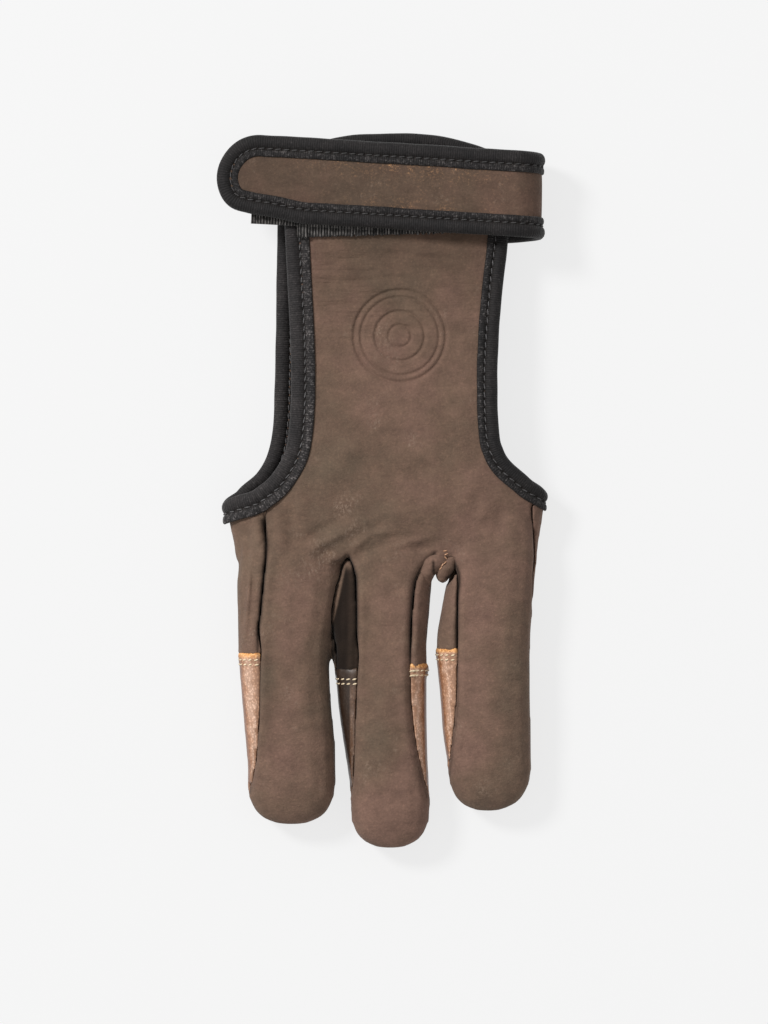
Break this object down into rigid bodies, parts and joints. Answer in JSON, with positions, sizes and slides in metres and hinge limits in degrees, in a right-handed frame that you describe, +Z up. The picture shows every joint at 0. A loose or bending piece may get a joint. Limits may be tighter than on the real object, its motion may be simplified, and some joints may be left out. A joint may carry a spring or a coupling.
{
  "type": "archery glove",
  "caption": "Leather shooting glove lying palm down, with smooth reinforced fingertips, open sides edged in black tape and a wrist strap closed over the back of the hand.",
  "frame": {"origin": "middle of the footprint, on the surface that the glove lies on", "axes": "+Z up out of the back of the hand, +Y from the fingertips to the wrist, +X to the side that the strap folds round"},
  "size_m": [0.092, 0.199, 0.0194],
  "materials": {
    "brown_leather": "matte nubuck, blotchy grey brown to red brown",
    "strap_leather": "matte nubuck with coppery rubbed specks",
    "tan_leather": "smooth coppery tan, half gloss",
    "binding_tape": "woven charcoal black tape, matte",
    "loop_band": "finely ribbed black webbing, matte"
  },
  "bodies": {
    "root": {"back_leather": "brown_leather", "palm_leather": "brown_leather", "tip_left": "tan_leather", "tip_middle": "tan_leather", "tip_right": "tan_leather", "gusset": "brown_leather", "side_binding_left": "binding_tape", "side_binding_right": "binding_tape", "wrist_binding": "binding_tape", "strap_leather": "strap_leather", "strap_binding": "binding_tape", "loop_band": "loop_band", "hook_patch": "loop_band"}
  },
  "joints": []
}
